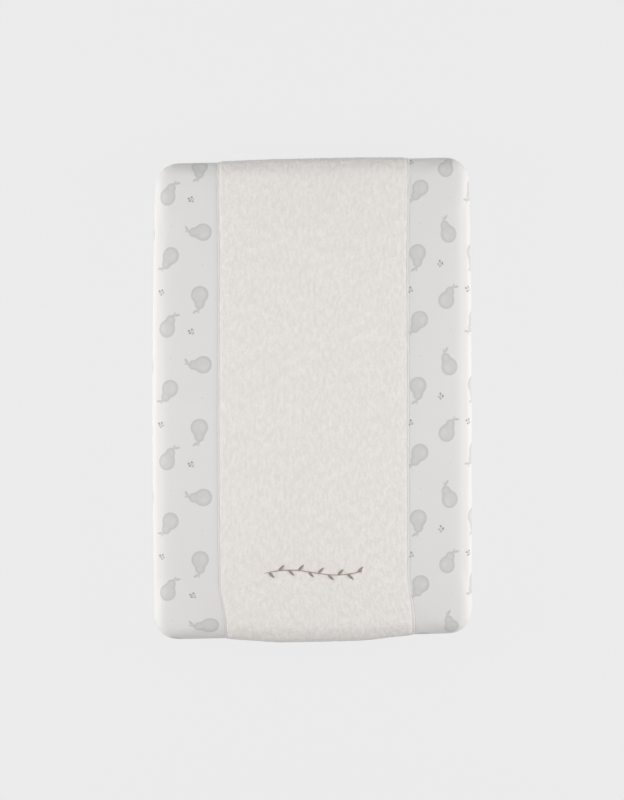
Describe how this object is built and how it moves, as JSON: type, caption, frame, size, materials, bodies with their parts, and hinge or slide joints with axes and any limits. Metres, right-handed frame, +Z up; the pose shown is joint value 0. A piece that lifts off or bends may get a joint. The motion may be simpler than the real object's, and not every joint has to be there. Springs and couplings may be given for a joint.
{
  "type": "baby changing mat",
  "caption": "Rectangular padded baby changing mat in a fitted cover with a terry centre strip, printed jersey sides and an elasticated hem underneath.",
  "frame": {"origin": "middle of the footprint, on the surface that the mat lies on", "axes": "+Z up out of the lying surface, +Y towards the head end along the length, +X across the width to the right"},
  "size_m": [0.4954, 0.7496, 0.0908],
  "materials": {
    "foam": "cream open-cell polyurethane foam, sawn faces",
    "coated_fabric": "white wipe-clean coated fabric, fine leather grain",
    "welded_edge": "heat-welded band with a fine rib",
    "eyelet": "nickel plated",
    "terry": "warm off-white terry with short dense loops",
    "printed_jersey": "pale cotton jersey with a soft grey print",
    "seam": "overlocked seam in off-white thread",
    "dart_seam": "sewn jersey dart",
    "hem_jersey": "gathered jersey hem",
    "elastic": "flat woven elastic",
    "hem_thread": "polyester sewing thread",
    "label": "blank satin tape",
    "embroidery": "satin stitch in dusky rose-brown thread"
  },
  "bodies": {
    "root": {"foam_core": "foam", "pad_skin_top": "coated_fabric", "pad_weld_band": "welded_edge", "pad_skin_bottom": "coated_fabric", "vent_eyelet_head_left": "eyelet", "vent_eyelet_head_right": "eyelet", "vent_eyelet_foot_left": "eyelet", "vent_eyelet_foot_right": "eyelet", "terry_centre_panel": "terry", "printed_panel_left": "printed_jersey", "printed_panel_right": "printed_jersey", "overlock_seam_left": "seam", "overlock_seam_right": "seam", "corner_dart_head_left": "dart_seam", "corner_dart_head_right": "dart_seam", "corner_dart_foot_left": "dart_seam", "corner_dart_foot_right": "dart_seam", "hem_casing": "hem_jersey", "hem_elastic": "elastic", "hem_stitching": "hem_thread", "care_label": "label", "embroidered_sprig": "embroidery"}
  },
  "joints": []
}
